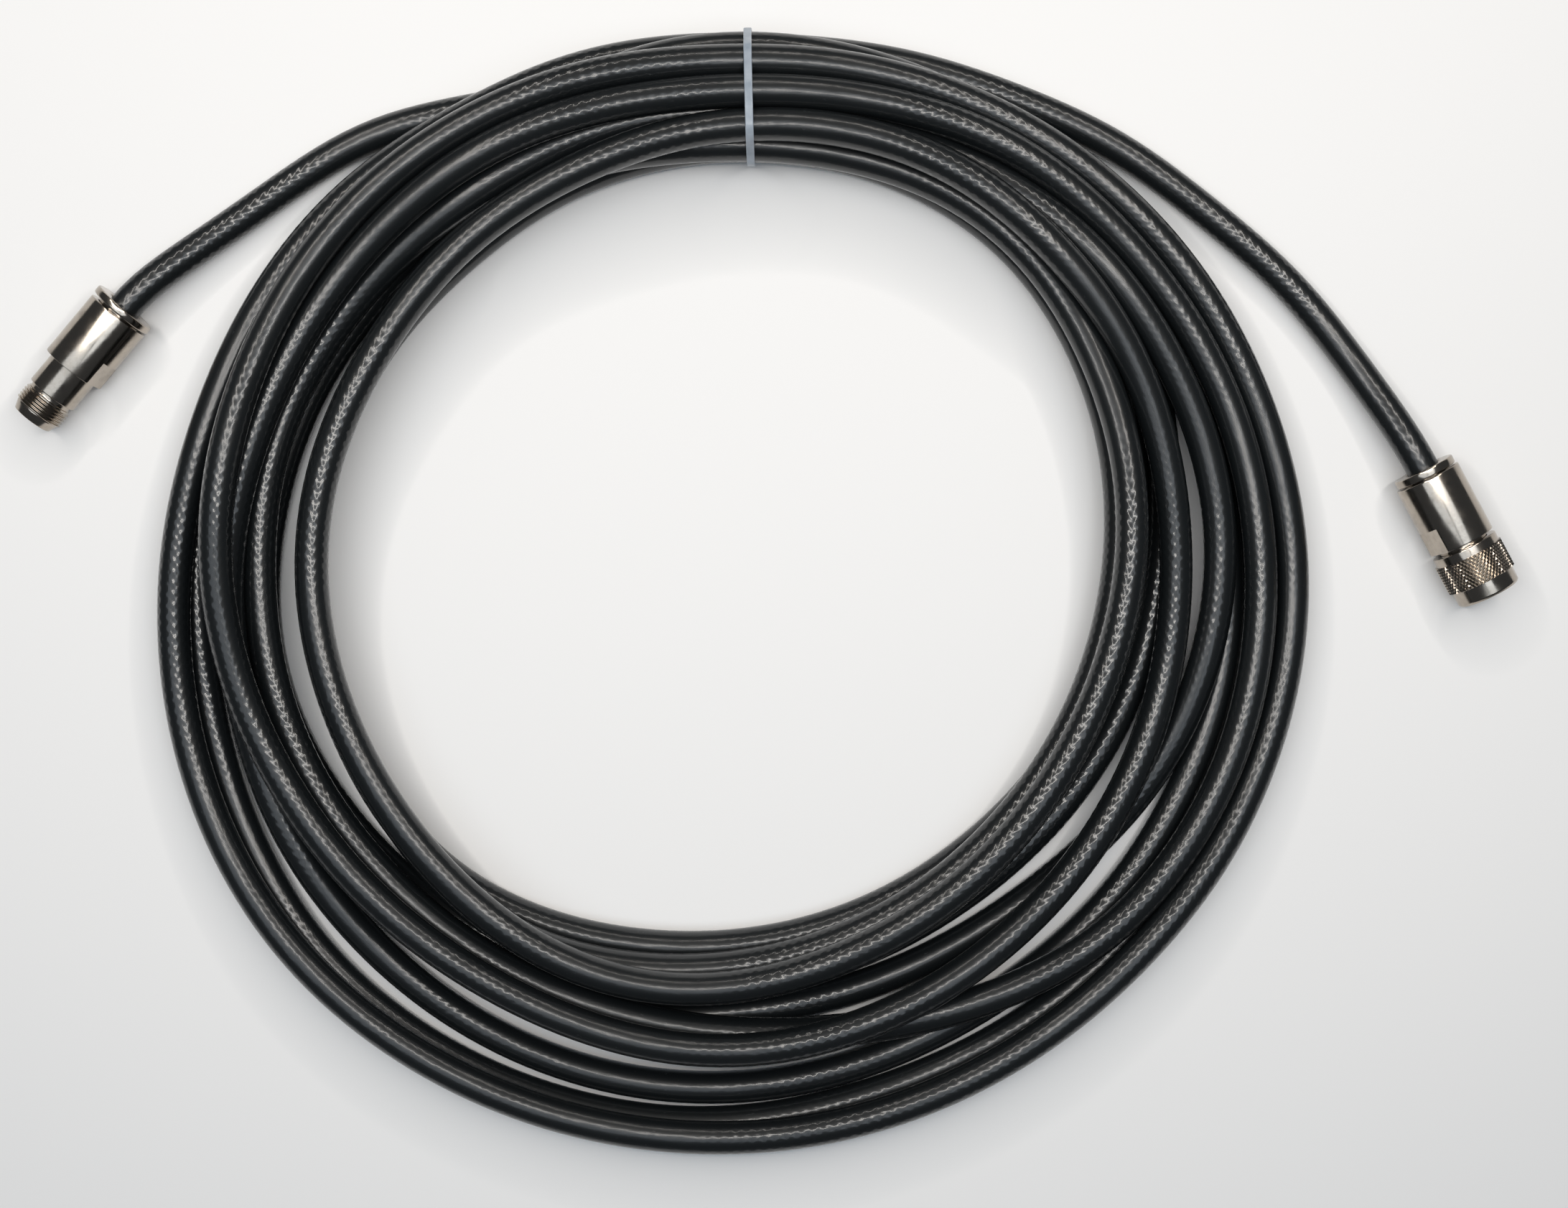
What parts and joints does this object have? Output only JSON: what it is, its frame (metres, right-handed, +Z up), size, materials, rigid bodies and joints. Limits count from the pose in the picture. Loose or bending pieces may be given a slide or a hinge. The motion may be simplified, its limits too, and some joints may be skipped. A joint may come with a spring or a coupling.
{
  "type": "coaxial cable coil",
  "caption": "Black coaxial jumper cable wound in a flat coil and tied, with a threaded jack on one end and a plug with a knurled coupling nut on the other.",
  "frame": {"origin": "on the floor, under the middle of the whole object's box", "axes": "+Z up, away from the floor; +X from the jack's side to the plug's side; +Y towards the tie"},
  "size_m": [0.4768, 0.3562, 0.0403],
  "materials": {
    "jacket": "satin black vinyl with a faint braid pattern showing through",
    "tie_nylon": "natural translucent nylon",
    "nickel": "bright nickel plate, finely pitted",
    "resin": "white fluoropolymer",
    "contact_metal": "silver-plated contact",
    "gasket_rubber": "plain rubber"
  },
  "bodies": {
    "cable": {"cable_coil": "jacket", "cable_to_jack": "jacket", "cable_to_plug": "jacket", "cable_tie": "tie_nylon", "jack_clamp_nut": "nickel", "jack_body": "nickel", "jack_insulator": "resin", "jack_contact": "contact_metal", "plug_clamp_nut": "nickel", "plug_body": "nickel", "plug_retaining_ring": "nickel", "plug_gasket": "gasket_rubber", "plug_insulator": "resin", "plug_pin": "contact_metal"},
    "coupling_nut": {"plug_coupling_nut": "nickel"}
  },
  "joints": [
    {"name": "coupling_nut_spin", "type": "hinge", "parent": "cable", "child": "coupling_nut", "pos_m": [0.2258, 0.00651, 0.01092], "axis": [0.4702, -0.8825, 0], "continuous": true}
  ]
}
